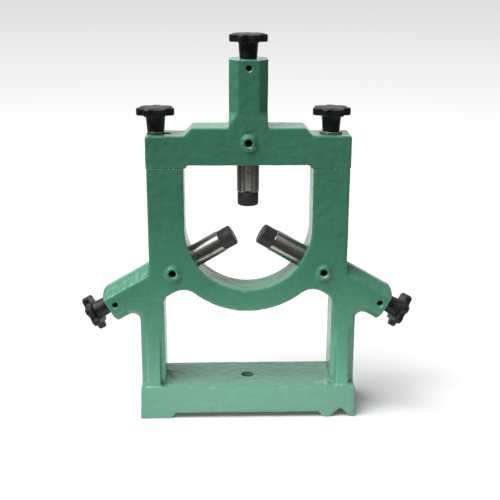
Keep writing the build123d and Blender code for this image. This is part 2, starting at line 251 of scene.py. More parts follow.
def smooth_shaded(piece, degrees):
    """Smooth shading with sharp edges kept where the surface turns by more than an angle."""
    pick(piece)
    bpy.ops.object.shade_smooth_by_angle(angle=math.radians(degrees))
    print(piece.name, len(piece.data.polygons), "faces")


def dress(piece, node, slot, body):
    """Puts a finished piece in the place of a node, with its material slot and its body."""
    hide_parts(node)
    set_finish(piece, slot)
    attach(piece, body)


# %% [markdown]
# The two castings are the heart of the object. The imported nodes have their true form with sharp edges. A
# real casting comes out of sand: every edge is soft, every inner corner has a fillet, and the faces are
# never flat. A copy of the node is therefore filled where holes are drilled later, rebuilt as an even
# skin, smoothed, and pushed in a little by slow noise. Bevels on the edges would leave them all alike.
# Faces that are milled on the real piece stay crisp: they are drawn out first and cut flat last, with a
# small chamfer round them, which makes the line where the two castings meet.

# %% Helpers for a cast skin
SKIN = {"base_frame": 2.4 * MM, "top_bridge": 1.9 * MM}
SMOOTHING_STEPS = 3
SMOOTHING_FACTOR = 0.5
UNEVENNESS = 0.8 * MM
UNEVEN_SCALE = 45 * MM
PITTING = 0.4 * MM
PITTING_SCALE = 8 * MM
MILLED_EXTRA = 8 * MM
MILLED_CHAMFER = 0.8 * MM
NODE_MERGE = 0.001 * MM
SAME_FACING = 0.99
SAME_PLANE = 0.1 * MM
CASTING_CREASE = 32


def merged_copy(node, name):
    """A merged copy of a node's mesh as a new piece."""
    piece = new_piece(name, frame["nodes"][node].data.copy())
    pick(piece)
    bpy.ops.object.mode_set(mode="EDIT")
    bpy.ops.mesh.select_all(action="SELECT")
    bpy.ops.mesh.remove_doubles(threshold=NODE_MERGE)
    bpy.ops.object.mode_set(mode="OBJECT")
    return piece


def everywhere(spot):
    """Test that every place passes."""
    return True


def flat_faces(piece, point, normal, near):
    """Goes to edit mode with the faces selected that lie in a plane."""
    select_faces(piece, lambda centre, facing: facing.dot(normal) > SAME_FACING and near(centre)
                 and abs((centre - point).dot(normal)) < SAME_PLANE)


def draw_out(piece, point, normal, near=everywhere):
    """Draws the faces in a plane further out, so that they can be cut flat later."""
    flat_faces(piece, point, normal, near)
    bpy.ops.mesh.extrude_region_move(TRANSFORM_OT_translate={"value": normal * MILLED_EXTRA})
    bpy.ops.object.mode_set(mode="OBJECT")


def cut_flat(piece, point, normal, near=everywhere):
    """Cuts a piece flat just under a plane, closes it, and raises the closed faces to it with a chamfer."""
    select_faces(piece, lambda centre, facing: near(centre))
    cut = point - normal * MILLED_CHAMFER
    bpy.ops.mesh.bisect(plane_co=cut, plane_no=normal, use_fill=True, clear_outer=True)
    flat_faces(piece, cut, normal, near)
    bpy.ops.mesh.inset(thickness=MILLED_CHAMFER, depth=MILLED_CHAMFER)
    bpy.ops.object.mode_set(mode="OBJECT")


def noise_texture(name, scale, depth):
    """Cloud texture for pushing a surface in."""
    texture = bpy.data.textures.new(name, "CLOUDS")
    texture.noise_scale = scale
    texture.noise_depth = depth
    return texture


def cast_skin(piece, voxel):
    """Rebuilds a piece as an even skin with soft edges and an uneven surface, never outside its box."""
    finish_with(piece, "REMESH", mode="VOXEL", voxel_size=voxel)
    finish_with(piece, "SMOOTH", factor=SMOOTHING_FACTOR, iterations=SMOOTHING_STEPS)
    for name, scale, depth, strength in (
        ("slow", UNEVEN_SCALE, 1, UNEVENNESS),
        ("fine", PITTING_SCALE, 2, PITTING),
    ):
        finish_with(piece, "DISPLACE", texture=noise_texture(name, scale, depth), texture_coords="LOCAL",
                    mid_level=1.0, strength=strength)


# %% [markdown]
# The holes are drilled after the skin is made, as on the real casting, so their edges are clean. Each jaw
# has a bore for its quill, a smaller hole for the screw, a threaded hole through the boss and a small hole
# near the knob. The base has a bolt hole, each upright a hole for its clamp stud, and the bridge a round
# hole and a slot for the studs. The same shapes, a little larger, fill the holes before the skin is made.
# The bosses are turned anew, because the skin would leave them too soft.

# %% Shapes for holes, fillings and bosses
RUNNING_GAP = 0.05 * MM
FILL_EXTRA = 0.4 * MM
SPARE = 10 * MM
BORE_END = 242 * MM
BORE_MOUTH = {"top": 104.2 * MM, "left": 99 * MM, "right": 99 * MM}
SCREW_RADIUS = 8 * MM
BASE_HOLE_RADIUS = 10.5 * MM
BASE_TOP = 55.5 * MM
FOOT_HEIGHT = 8 * MM
CLAMP_HOLE_RADIUS = 7.5 * MM
SLOT_BACK = 8 * MM
SLOT_LENGTH = 25 * MM
STUD_HOLE_DEPTH = 38 * MM
STUD_GAP = 0.1 * MM
MOUTH_CHAMFER = 1.6 * MM
BOSS_RADIUS = 14 * MM
BOSS_ROUND = 3 * MM
BOSS_SLOPE = 3 * MM
BOSS_ROOT = 5 * MM
BOSS_REGION = 1.2 * BOSS_RADIUS
ROUND_STEPS = 6
ARM_REGION = 60 * MM
LUMPS = ((129, -40, 55, 6), (120, -43, 55, 4), (-131, 14, 53, 6), (-129, 2, 53, 5), (-124, -6, 53, 4))
upright = Matrix.Identity(4)
split_point = Vector((0, 0, split_height))
up = Vector((0, 0, 1))


def bore(jaw, start, end, grow):
    """Quill bore with the screw hole behind it."""
    place = jaw_place(jaw)
    wide = rod(quill_radius + grow, start, BORE_END, place)
    combine(wide, rod(SCREW_RADIUS + grow, BORE_END - SPARE, end, place), "UNION")
    return wide


def front_hole(node, radius, face):
    """Cutter for a hole from the front down to a jaw's axis, with a chamfered mouth."""
    outer = radius + MOUTH_CHAMFER + SPARE
    straight = face - MOUTH_CHAMFER
    hole = turned("hole", [(0, 0), (radius, 0), (radius, straight), (outer, face + SPARE), (0, face + SPARE)])
    hole.data.transform(front_place(node))
    return hole


def boss(jaw):
    """Tapered round boss with a rounded rim on the front of a jaw."""
    root = half_depth - BOSS_ROOT
    profile = [(0, root), (BOSS_RADIUS, root), (BOSS_RADIUS, half_depth)]
    for step in range(ROUND_STEPS + 1):
        turn = math.radians(90) * step / ROUND_STEPS
        radius = BOSS_RADIUS - BOSS_SLOPE - BOSS_ROUND * (1 - math.cos(turn))
        profile.append((radius, boss_face - BOSS_ROUND * (1 - math.sin(turn))))
    piece = turned("boss", [*profile, (0, boss_face)])
    piece.data.transform(front_place(f"{jaw}_key_screw"))
    return piece


def flatten_boss(casting, jaw):
    """Presses a boss of the copied node level with the front, to make room for the new one."""
    spot = middle(f"{jaw}_key_screw")
    front = Vector((spot.x, -half_depth, spot.z))
    select_points(casting, lambda point: point.y < -half_depth and (point - front).length < BOSS_REGION)
    bpy.ops.transform.resize(value=(1, 0, 1), center_override=(0, -half_depth, 0))
    bpy.ops.object.mode_set(mode="OBJECT")


def jaw_end(jaw):
    """End of a jaw's arm as a point, a direction and a test for places near it."""
    axis = jaw_direction[jaw]
    point = work_axis + axis * jaw_reach[jaw]

    def near(spot):
        along_axis = (spot - point).dot(axis)
        return along_axis > -SPARE and (spot - point - axis * along_axis).length < ARM_REGION

    return point, axis, near


def prepare_jaw(casting, jaw):
    """Readies a jaw of the copied node for the skin."""
    flatten_boss(casting, jaw)
    draw_out(casting, *jaw_end(jaw))


def jaw_fillings(jaw):
    """Fillings for every hole of a jaw."""
    return [
        bore(jaw, BORE_MOUTH[jaw], jaw_reach[jaw] + MILLED_EXTRA, FILL_EXTRA),
        rod(key_radius + 2 * MOUTH_CHAMFER, 0, half_depth, front_place(f"{jaw}_key_screw")),
        rod(retaining_radius + FILL_EXTRA, 0, half_depth, front_place(f"{jaw}_retaining_screw")),
    ]


def drill_jaw(casting, jaw):
    """Mills the end of a jaw's arm, adds its boss and drills its holes."""
    cut_flat(casting, *jaw_end(jaw))
    combine(casting, boss(jaw), "UNION")
    combine(casting, bore(jaw, 0, jaw_reach[jaw] + SPARE, RUNNING_GAP), "DIFFERENCE")
    combine(casting, front_hole(f"{jaw}_key_screw", key_radius + RUNNING_GAP, boss_face), "DIFFERENCE")
    face = half_depth - UNEVENNESS
    combine(casting, front_hole(f"{jaw}_retaining_screw", retaining_radius + RUNNING_GAP, face), "DIFFERENCE")


def lump(x, y, z, radius):
    """Small ball of spare iron, left where sand broke out of a corner of the mould."""
    deselect()
    bpy.ops.mesh.primitive_ico_sphere_add(
        subdivisions=3, radius=radius * MM, location=(x * MM, y * MM, z * MM)
    )
    bpy.ops.object.transform_apply(location=True, rotation=True, scale=True)
    return bpy.context.object


def slot_rod(low, high, grow):
    """Shape of the slot at the left end of the bridge."""
    place = upright_place("clamp_left_stud") @ Matrix.Translation((-SLOT_BACK, 0, 0))
    return rod(CLAMP_HOLE_RADIUS + grow, low, high, place, draw=SLOT_LENGTH)


def round_rod(low, high, grow):
    """Shape of the round hole at the right end of the bridge."""
    return rod(CLAMP_HOLE_RADIUS + grow, low, high, upright_place("clamp_right_stud"))


# %% [markdown]
# The base casting is milled at the split, under the feet and at the ends of its two arms. Two corners keep
# lumps of spare iron, as in the photograph.

# %% Base casting
frame_casting = merged_copy("base_frame", "frame_casting")
draw_out(frame_casting, split_point, up)
draw_out(frame_casting, Vector(), -up)
fillings = [rod(BASE_HOLE_RADIUS + FILL_EXTRA, FOOT_HEIGHT, BASE_TOP, upright)]
for jaw in ("left", "right"):
    prepare_jaw(frame_casting, jaw)
    fillings += jaw_fillings(jaw)
for clamp in CLAMPS:
    place = upright_place(f"{clamp}_stud")
    fillings.append(rod(stud_radius + FILL_EXTRA, -STUD_HOLE_DEPTH, MILLED_EXTRA, place))
fillings += [lump(*row) for row in LUMPS]
frame_casting = joined([frame_casting, *fillings])
cast_skin(frame_casting, SKIN["base_frame"])
cut_flat(frame_casting, split_point, up)
cut_flat(frame_casting, Vector(), -up)
for jaw in ("left", "right"):
    drill_jaw(frame_casting, jaw)
combine(frame_casting, rod(BASE_HOLE_RADIUS, -SPARE, BASE_TOP + SPARE, upright), "DIFFERENCE")
for clamp in CLAMPS:
    hole = rod(stud_radius + STUD_GAP, -STUD_HOLE_DEPTH, SPARE, upright_place(f"{clamp}_stud"))
    combine(frame_casting, hole, "DIFFERENCE")
smooth_shaded(frame_casting, CASTING_CREASE)
dress(frame_casting, "base_frame", "green_casting", "frame")

# %% [markdown]
# The bridge is made in the same way. It is milled under its ends, where it sits on the uprights, and at
# the top of its tower.

# %% Bridge casting
pad_height = pad_top - split_height
bridge_casting = merged_copy("top_bridge", "bridge_casting")
draw_out(bridge_casting, split_point, -up)
prepare_jaw(bridge_casting, "top")
fillings = jaw_fillings("top")
for shape in (slot_rod, round_rod):
    fillings.append(shape(-MILLED_EXTRA, pad_height, FILL_EXTRA))
bridge_casting = joined([bridge_casting, *fillings])
cast_skin(bridge_casting, SKIN["top_bridge"])
cut_flat(bridge_casting, split_point, -up)
drill_jaw(bridge_casting, "top")
for shape in (slot_rod, round_rod):
    combine(bridge_casting, shape(-SPARE, pad_height + SPARE, 0.0), "DIFFERENCE")
smooth_shaded(bridge_casting, CASTING_CREASE)
dress(bridge_casting, "top_bridge", "green_casting", "bridge")

# %% [markdown]
# The star knobs are moulded in black plastic: a lobed head with soft edges on a slightly flared hub. A
# ring of points is pulled in where the fingers go, as far as a round scallop cuts at that place. It is
# drawn up into a thick star, bevelled and subdivided. The hub is a turned shape, so its profile is spun.
# One knob is modelled and then copied to all five places, each copy with its own mesh.

# %% Star knob
KNOB_LOBES = 7
POINTS_PER_LOBE = 12
SCALLOP_RADIUS = 8.5 * MM
SCALLOP_OFFSET = 2.2 * MM
RIM_LOW = 25 * MM
RIM_HEIGHT = 11.1 * MM
DOME_STEPS = ((0.8, 0.5), (0.6, 0.3))
HUB_FOOT = 13.6 * MM
HUB_HEAD = 15.2 * MM
INSERT_RADIUS = 9 * MM
HUB_FOOT_CHAMFER = 1 * MM
HUB_FLARE = ((0.5 * MM, 8 * MM), (2 * MM, 2 * MM))
EDGE_ROUND = 1.8 * MM
EDGE_SEGMENTS = 3
EDGE_ANGLE = 50
KNOB_CREASE = 40
knob_radius = size("top_knob").x / 2
knob_height = size("top_knob").z


def scallop_share(step):
    """Share of the radius that a scallop leaves at a point, counted from the middle of a lobe."""
    turn = math.tau / KNOB_LOBES * (step / POINTS_PER_LOBE - 0.5)
    distance = knob_radius + SCALLOP_OFFSET
    aside = distance * math.sin(turn)
    if abs(aside) >= SCALLOP_RADIUS:
        return 1.0
    reach = distance * math.cos(turn) - math.sqrt(SCALLOP_RADIUS**2 - aside**2)
    return min(1.0, reach / knob_radius)


def lobe_step(spot):
    """Number of a rim point within its lobe."""
    turn = math.atan2(spot.x, spot.y) / math.tau
    return round(turn * KNOB_LOBES * POINTS_PER_LOBE) % POINTS_PER_LOBE


def star_head():
    """Lobed head of the knob, standing over the origin."""
    deselect()
    bpy.ops.mesh.primitive_circle_add(
        vertices=KNOB_LOBES * POINTS_PER_LOBE, radius=knob_radius, fill_type="NGON", location=(0, 0, RIM_LOW)
    )
    head = bpy.context.object
    bpy.ops.object.transform_apply(location=True, rotation=True, scale=True)
    for step in range(1, POINTS_PER_LOBE):
        share = scallop_share(step)
        select_points(head, lambda spot: lobe_step(spot) == step)
        bpy.ops.transform.resize(value=(share, share, 1), center_override=(0, 0, RIM_LOW))
    bpy.ops.mesh.select_all(action="SELECT")
    bpy.ops.mesh.extrude_region_move(TRANSFORM_OT_translate={"value": (0, 0, RIM_HEIGHT)})
    dome = knob_height - RIM_LOW - RIM_HEIGHT
    for share, rise in DOME_STEPS:
        bpy.ops.mesh.extrude_region_move(TRANSFORM_OT_translate={"value": (0, 0, dome * rise)})
        bpy.ops.transform.resize(value=(share, share, 1), center_override=(0, 0, 0))
    bpy.ops.mesh.select_all(action="SELECT")
    bpy.ops.mesh.normals_make_consistent(inside=False)
    bpy.ops.object.mode_set(mode="OBJECT")
    bevel(head, EDGE_ROUND, EDGE_SEGMENTS, EDGE_ANGLE)
    finish_with(head, "SUBSURF", levels=1, render_levels=1)
    return head


def knob_hub():
    """Flared hub under the head."""
    (low_flare, low_height), (high_flare, overlap) = HUB_FLARE
    return turned("hub", [
        (0, 0),
        (HUB_FOOT - HUB_FOOT_CHAMFER, 0),
        (HUB_FOOT, HUB_FOOT_CHAMFER),
        (HUB_FOOT + low_flare, low_height),
        (HUB_HEAD, RIM_LOW - overlap),
        (HUB_HEAD + high_flare, RIM_LOW + overlap),
        (0, RIM_LOW + overlap),
    ])


star_knob = star_head()
combine(star_knob, knob_hub(), "UNION")
combine(star_knob, rod(INSERT_RADIUS, -SPARE, insert_length, upright), "DIFFERENCE")
smooth_shaded(star_knob, KNOB_CREASE)

# %% [markdown]
# The jaw knobs sit at the ends of the arms and turn with the spindles. The clamp knobs sit on their inserts
# and turn with the clamp handles.

# %% Copies of the knob
knob_places = {}
for jaw in JAWS:
    seat = Matrix.Translation((0, 0, jaw_reach[jaw] + seat_gap))
    knob_places[f"{jaw}_knob"] = (jaw_place(jaw) @ seat, f"{jaw}_spindle")
for clamp in CLAMPS:
    seat = Matrix.Translation((middle(f"{clamp}_insert").x, 0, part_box(f"{clamp}_insert")[0].z))
    knob_places[f"{clamp}_knob"] = (seat, f"{clamp}_handle")
for node, (place, body) in knob_places.items():
    piece = new_piece(f"star_{node}", star_knob.data.copy())
    piece.data.transform(place)
    dress(piece, node, "black_plastic", body)
    print(piece.name, "on", body)
bpy.data.objects.remove(star_knob)

# %% [markdown]
# The jaws, their tips and the washers have their true form already. Each gets a copy whose long facets
# are melted into plain faces, with a fine bevel on the edges, so that the steel catches the light.

# %% Jaws, tips and washers
FINE_BEVEL = 0.4 * MM
FINE_SEGMENTS = 2
FINE_ANGLE = 40
FACET_ANGLE = 0.5
STEEL_CREASE = 35


def fine_copy(node, slot, body):
    """A smooth copy of a node with finely bevelled edges."""
    piece = merged_copy(node, f"fine_{node}")
    pick(piece)
    bpy.ops.object.mode_set(mode="EDIT")
    bpy.ops.mesh.select_all(action="SELECT")
    bpy.ops.mesh.dissolve_limited(angle_limit=math.radians(FACET_ANGLE))
    bpy.ops.object.mode_set(mode="OBJECT")
    bevel(piece, FINE_BEVEL, FINE_SEGMENTS, FINE_ANGLE)
    smooth_shaded(piece, STEEL_CREASE)
    dress(piece, node, slot, body)


for jaw in JAWS:
    fine_copy(f"{jaw}_quill", "ground_steel", f"{jaw}_jaw")
    fine_copy(f"{jaw}_tip", "dark_tip", f"{jaw}_jaw")
for clamp in CLAMPS:
    fine_copy(f"{clamp}_washer", "bright_steel", "bridge")

# %% [markdown]
# The clamp studs come into view when their knobs are screwed up, so they get a real thread. One pitch of
# the thread's profile is swept up a helix and cut flat at both ends.

# %% Threaded clamp studs
THREAD_PITCH = 1.75 * MM
THREAD_DEPTH = 1.07 * MM
THREAD_STEPS = 32
THREAD_CREASE = 30


def threaded_stud(node, body):
    """Stud with a V thread over its whole length."""
    low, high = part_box(node)
    turns = math.ceil((high.z - low.z) / THREAD_PITCH) + 2
    start = low.z - THREAD_PITCH
    data = bpy.data.meshes.new(f"thread_{node}")
    points = [(stud_radius - THREAD_DEPTH, 0, start), (stud_radius, 0, start + THREAD_PITCH / 2),
              (stud_radius - THREAD_DEPTH, 0, start + THREAD_PITCH)]
    data.from_pydata(points, [(0, 1), (1, 2)], [])
    piece = new_piece(f"thread_{node}", data)
    finish_with(piece, "SCREW", axis="Z", angle=math.tau, screw_offset=THREAD_PITCH, iterations=turns,
                steps=THREAD_STEPS, render_steps=THREAD_STEPS, use_merge_vertices=True,
                merge_threshold=MERGE_DISTANCE)
    pick(piece)
    bpy.ops.object.mode_set(mode="EDIT")
    for height, way in ((high.z, up), (low.z, -up)):
        bpy.ops.mesh.select_all(action="SELECT")
        bpy.ops.mesh.bisect(plane_co=(0, 0, height), plane_no=way, use_fill=True, clear_outer=True)
    bpy.ops.mesh.select_all(action="SELECT")
    bpy.ops.mesh.normals_make_consistent(inside=False)
    bpy.ops.object.mode_set(mode="OBJECT")
    piece.data.transform(Matrix.Translation((middle(node).x, 0, 0)))
    smooth_shaded(piece, THREAD_CREASE)
    dress(piece, node, "bright_steel", body)


for clamp in CLAMPS:
    threaded_stud(f"{clamp}_stud", f"{clamp}_screw")

# %% [markdown]
# Finishes come next. Effects such as blotches, streaks, worn edges with a painted highlight and height
# are node groups, each with named inputs, and every finish sets its own values.

# %% Shared effects
def new_group(name, inputs):
    """Empty shader group with number inputs and one mask as its output."""
    tree = bpy.data.node_groups.new(name, "ShaderNodeTree")
    for label, value in inputs.items():
        socket = tree.interface.new_socket(label, in_out="INPUT", socket_type="NodeSocketFloat")
        socket.default_value = value
    tree.interface.new_socket("Mask", in_out="OUTPUT", socket_type="NodeSocketFloat")
    start = tree.nodes.new("NodeGroupInput")
    end = tree.nodes.new("NodeGroupOutput")
    return tree, start, end


def spread_mask(tree, start, end, value):
    """Ends a group: spreads a value between its Low and High inputs into the mask."""
    spread = tree.nodes.new("ShaderNodeMapRange")
    spread.interpolation_type = "SMOOTHSTEP"
    tree.links.new(value, spread.inputs["Value"])
    tree.links.new(start.outputs["Low"], spread.inputs["From Min"])
    tree.links.new(start.outputs["High"], spread.inputs["From Max"])
    tree.links.new(spread.outputs["Result"], end.inputs["Mask"])


def noise_group(name, stretch):
    """Noise in object space, squeezed along the three axes, from 0 to 1."""
    tree, start, end = new_group(name, {"Scale": 20.0, "Low": 0.4, "High": 0.6})
    place = tree.nodes.new("ShaderNodeTexCoord")
    squeeze = tree.nodes.new("ShaderNodeMapping")
    squeeze.inputs["Scale"].default_value = stretch
    noise = tree.nodes.new("ShaderNodeTexNoise")
    noise.inputs["Detail"].default_value = 4.0
    tree.links.new(place.outputs["Object"], squeeze.inputs["Vector"])
    tree.links.new(squeeze.outputs["Vector"], noise.inputs["Vector"])
    tree.links.new(start.outputs["Scale"], noise.inputs["Scale"])
    spread_mask(tree, start, end, noise.outputs["Fac"])
    return tree


def edge_group():
    """Outer edges of a surface, from 0 to 1."""
    tree, start, end = new_group("worn_edges", {"Low": 0.52, "High": 0.6})
    surface = tree.nodes.new("ShaderNodeNewGeometry")
    spread_mask(tree, start, end, surface.outputs["Pointiness"])
    return tree


def level_group():
    """Nearness to a height, from 0 to 1."""
    tree, start, end = new_group("milled_level", {"Height": 0.0, "Low": 0.6 * MM, "High": 0.2 * MM})
    place = tree.nodes.new("ShaderNodeTexCoord")
    parts = tree.nodes.new("ShaderNodeSeparateXYZ")
    apart = tree.nodes.new("ShaderNodeMath")
    apart.operation = "SUBTRACT"
    distance = tree.nodes.new("ShaderNodeMath")
    distance.operation = "ABSOLUTE"
    tree.links.new(place.outputs["Object"], parts.inputs["Vector"])
    tree.links.new(parts.outputs["Z"], apart.inputs[0])
    tree.links.new(start.outputs["Height"], apart.inputs[1])
    tree.links.new(apart.outputs[0], distance.inputs[0])
    spread_mask(tree, start, end, distance.outputs[0])
    return tree


effects = {
    "blotches": noise_group("blotches", (1.0, 1.0, 1.0)),
    "streaks": noise_group("streaks", (0.12, 0.5, 1.0)),
    "edges": edge_group(),
    "level": level_group(),
}
print("effects", list(effects))


def mask_of(tree, effect, **values):
    """An effect with its own values in a material, as the mask output."""
    node = tree.nodes.new("ShaderNodeGroup")
    node.node_tree = effects[effect]
    for label, value in values.items():
        node.inputs[label].default_value = value
    return node.outputs["Mask"]


# %% [markdown]
# A few short helpers keep the materials readable: each adds one node to a material and returns what comes
# out of it.

# %% Helpers for materials
def new_material(name):
    """Material with a Principled shader, and its tree."""
    material = bpy.data.materials.new(name)
    material.use_nodes = True
    return material, material.node_tree, material.node_tree.nodes["Principled BSDF"]


def mixed(tree, mask, first, second):
    """Mix of two colours by a mask; a colour may be a value or an output."""
    node = tree.nodes.new("ShaderNodeMix")
    node.data_type = "RGBA"
    tree.links.new(mask, node.inputs["Factor"])
    for socket, colour in ((node.inputs["A"], first), (node.inputs["B"], second)):
        if isinstance(colour, bpy.types.NodeSocket):
            tree.links.new(colour, socket)
        else:
            socket.default_value = (*colour, 1.0)
    return node.outputs["Result"]


def ranged(tree, mask, low, high):
    """A mask turned into a value between two limits."""
    node = tree.nodes.new("ShaderNodeMapRange")
    node.inputs["To Min"].default_value = low
    node.inputs["To Max"].default_value = high
    tree.links.new(mask, node.inputs["Value"])
    return node.outputs["Result"]


def product(tree, first, second):
    """Two masks multiplied."""
    node = tree.nodes.new("ShaderNodeMath")
    node.operation = "MULTIPLY"
    tree.links.new(first, node.inputs[0])
    tree.links.new(second, node.inputs[1])
    return node.outputs[0]


def greater(tree, first, second):
    """The greater of two masks."""
    node = tree.nodes.new("ShaderNodeMath")
    node.operation = "MAXIMUM"
    tree.links.new(first, node.inputs[0])
    tree.links.new(second, node.inputs[1])
    return node.outputs[0]


def bumped(tree, height, strength, distance, before=None):
    """Bump from a height, on top of an earlier bump."""
    node = tree.nodes.new("ShaderNodeBump")
    node.inputs["Strength"].default_value = strength
    node.inputs["Distance"].default_value = distance
    tree.links.new(height, node.inputs["Height"])
    if before:
        tree.links.new(before, node.inputs["Normal"])
    return node.outputs["Normal"]


# %% [markdown]
# The paint was brushed on thickly. It has wide and close blotches, paler edges that are a painted
# highlight, with chips down to the filler, paint that grows paler towards the base as painted light from
# below, and bumps from the sand, the brush and specks. The milled faces under the bridge, on the uprights
# and under the feet are bare iron.

# %% Green paint
PAINT = (0.087, 0.325, 0.2)
PAINT_DARK = (0.074, 0.292, 0.178)
PAINT_PALE = (0.128, 0.39, 0.26)
# The colour towards the base is painted light from below.
PAINTED_LIGHT_COLOUR = (0.175, 0.39, 0.285)
PAINTED_LIGHT_HEIGHT = 250 * MM
FILLER = (0.42, 0.5, 0.45)
BARE_IRON = (0.2, 0.19, 0.18)


def green_paint():
    """Semi-gloss paint brushed over a rough casting, chipped at the edges, with bare milled faces."""
    material, tree, shader = new_material("green_paint")
    wide = mask_of(tree, "blotches", Scale=9.0, Low=0.35, High=0.7)
    close = mask_of(tree, "blotches", Scale=60.0, Low=0.4, High=0.75)
    edges = mask_of(tree, "edges", Low=0.51, High=0.57)
    chips = product(tree, edges, mask_of(tree, "blotches", Scale=70.0, Low=0.55, High=0.62))
    bare = greater(
        tree,
        mask_of(tree, "level", Height=split_height, Low=0.6 * MM, High=0.2 * MM),
        mask_of(tree, "level", Height=0.0, Low=0.6 * MM, High=0.2 * MM),
    )
    # Paint paler towards the base: painted light from below.
    painted_light_mask = mask_of(tree, "level", Height=0.0, Low=PAINTED_LIGHT_HEIGHT, High=0.0)
    colour = mixed(tree, wide, PAINT, PAINT_DARK)
    colour = mixed(tree, ranged(tree, close, 0.0, 0.15), colour, PAINT_PALE)
    colour = mixed(tree, ranged(tree, painted_light_mask, 0.0, 0.7), colour, PAINTED_LIGHT_COLOUR)
    # Paler paint on the outer edges is a painted highlight; the chips are real.
    colour = mixed(tree, ranged(tree, edges, 0.0, 0.6), colour, PAINT_PALE)
    colour = mixed(tree, ranged(tree, chips, 0.0, 0.7), colour, FILLER)
    tree.links.new(mixed(tree, bare, colour, BARE_IRON), shader.inputs["Base Color"])
    tree.links.new(bare, shader.inputs["Metallic"])
    tree.links.new(ranged(tree, close, 0.18, 0.3), shader.inputs["Roughness"])
    shader.inputs["Specular IOR Level"].default_value = 0.4
    lumps = mask_of(tree, "blotches", Scale=75.0, Low=0.2, High=0.8)
    brush = mask_of(tree, "streaks", Scale=130.0, Low=0.25, High=0.75)
    specks = mask_of(tree, "blotches", Scale=260.0, Low=0.66, High=0.74)
    normal = bumped(tree, lumps, 0.8, 1.0 * MM)
    normal = bumped(tree, brush, 0.4, 0.3 * MM, normal)
    tree.links.new(bumped(tree, specks, 0.35, 0.3 * MM, normal), shader.inputs["Normal"])
    return material


# %% [markdown]
# The steel jaws are ground and a little stained, with darker patches and spots of rust. The tips and the
# knobs are nearly black, a little paler where they are worn, and dented and grained under the gloss.

# %% Steel and plastic
STAIN = (0.05, 0.035, 0.025)


def steel(name, colour, dark, rough):
    """Machined steel with darker patches and brown stains."""
    material, tree, shader = new_material(name)
    patches = mask_of(tree, "blotches", Scale=45.0, Low=0.35, High=0.75)
    stains = mask_of(tree, "blotches", Scale=120.0, Low=0.64, High=0.72)
    base = mixed(tree, patches, colour, dark)
    tree.links.new(mixed(tree, ranged(tree, stains, 0.0, 0.8), base, STAIN), shader.inputs["Base Color"])
    shader.inputs["Metallic"].default_value = 1.0
    tree.links.new(ranged(tree, greater(tree, patches, stains), *rough), shader.inputs["Roughness"])
    tree.links.new(bumped(tree, stains, 0.3, 0.3 * MM), shader.inputs["Normal"])
    return material


def dull_finish(name, colour, pale, metallic, rough):
    """Dark moulded or oxidised finish with uneven gloss."""
    material, tree, shader = new_material(name)
    patches = mask_of(tree, "blotches", Scale=90.0, Low=0.35, High=0.7)
    edges = mask_of(tree, "edges", Low=0.52, High=0.6)
    worn = greater(tree, ranged(tree, patches, 0.0, 0.4), edges)
    tree.links.new(mixed(tree, worn, colour, pale), shader.inputs["Base Color"])
    shader.inputs["Metallic"].default_value = metallic
    shader.inputs["Specular IOR Level"].default_value = 0.3
    tree.links.new(ranged(tree, patches, *rough), shader.inputs["Roughness"])
    dents = mask_of(tree, "blotches", Scale=240.0, Low=0.3, High=0.7)
    grain = mask_of(tree, "blotches", Scale=700.0, Low=0.3, High=0.7)
    normal = bumped(tree, dents, 0.35, 0.4 * MM)
    tree.links.new(bumped(tree, grain, 0.2, 0.12 * MM, normal), shader.inputs["Normal"])
    return material


GROUND, GROUND_DARK = (0.31, 0.3, 0.285), (0.21, 0.2, 0.185)
BRIGHT, BRIGHT_DARK = (0.42, 0.42, 0.41), (0.3, 0.3, 0.29)
PLASTIC, PLASTIC_PALE = (0.007, 0.007, 0.009), (0.05, 0.05, 0.058)
OXIDE, OXIDE_PALE = (0.008, 0.008, 0.008), (0.02, 0.019, 0.018)
TIP, TIP_PALE = (0.05, 0.05, 0.053), (0.1, 0.1, 0.104)
finishes = {
    "green_casting": green_paint(),
    "black_plastic": dull_finish("black_plastic", PLASTIC, PLASTIC_PALE, 0.0, (0.36, 0.5)),
    "ground_steel": steel("ground_steel", GROUND, GROUND_DARK, (0.26, 0.36)),
    "bright_steel": steel("bright_steel", BRIGHT, BRIGHT_DARK, (0.3, 0.45)),
    "dark_steel": dull_finish("dark_steel", OXIDE, OXIDE_PALE, 0.2, (0.6, 0.75)),
    "dark_tip": dull_finish("dark_tip", TIP, TIP_PALE, 0.3, (0.45, 0.58)),
}
slot_of = {row["node"]: row["material_slot"] for row in frame["record"]["subparts"]}
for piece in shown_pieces():
    name = piece.get("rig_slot") or slot_of[piece.name]
    piece.data.materials.clear()
    piece.data.materials.append(finishes[name])
    print(piece.name, "has", name)

# %% [markdown]
# The object stands on a wide pale floor. A broad soft light from above, a little to the left and in front,
# gives bright tops and left chamfers, while the front faces live on what the floor throws back. A low
# light near the floor in front lifts the base and the legs. The floor looks white and throws less light on
# the object than it shows. The sky looks pale to the camera, and in reflections it is bright only behind
# and above, so that round steel has dark sides.

# %% Floor
FLOOR_SHOWN = (1.0, 1.0, 1.0)
FLOOR_LIGHT = (0.4, 0.4, 0.4)
FLOOR_SIDE = 0.8
FLOOR_FRONT = -0.45
FLOOR_BACK = 3.0
deselect()
bpy.ops.mesh.primitive_plane_add(size=2 * FLOOR_SIDE)
floor = bpy.context.object
floor.name = "floor"
select_points(floor, lambda spot: spot.y < 0)
bpy.ops.transform.translate(value=(0, FLOOR_SIDE + FLOOR_FRONT, 0))
select_points(floor, lambda spot: spot.y > FLOOR_SIDE / 2)
bpy.ops.transform.translate(value=(0, FLOOR_BACK - FLOOR_SIDE, 0))
bpy.ops.object.mode_set(mode="OBJECT")


def shown_rays(tree):
    """1 for rays from the camera, reflections and glass, 0 for light on its way round the scene."""
    paths = tree.nodes.new("ShaderNodeLightPath")
    mirror = greater(tree, paths.outputs["Is Camera Ray"], paths.outputs["Is Glossy Ray"])
    return greater(tree, mirror, paths.outputs["Is Transmission Ray"])


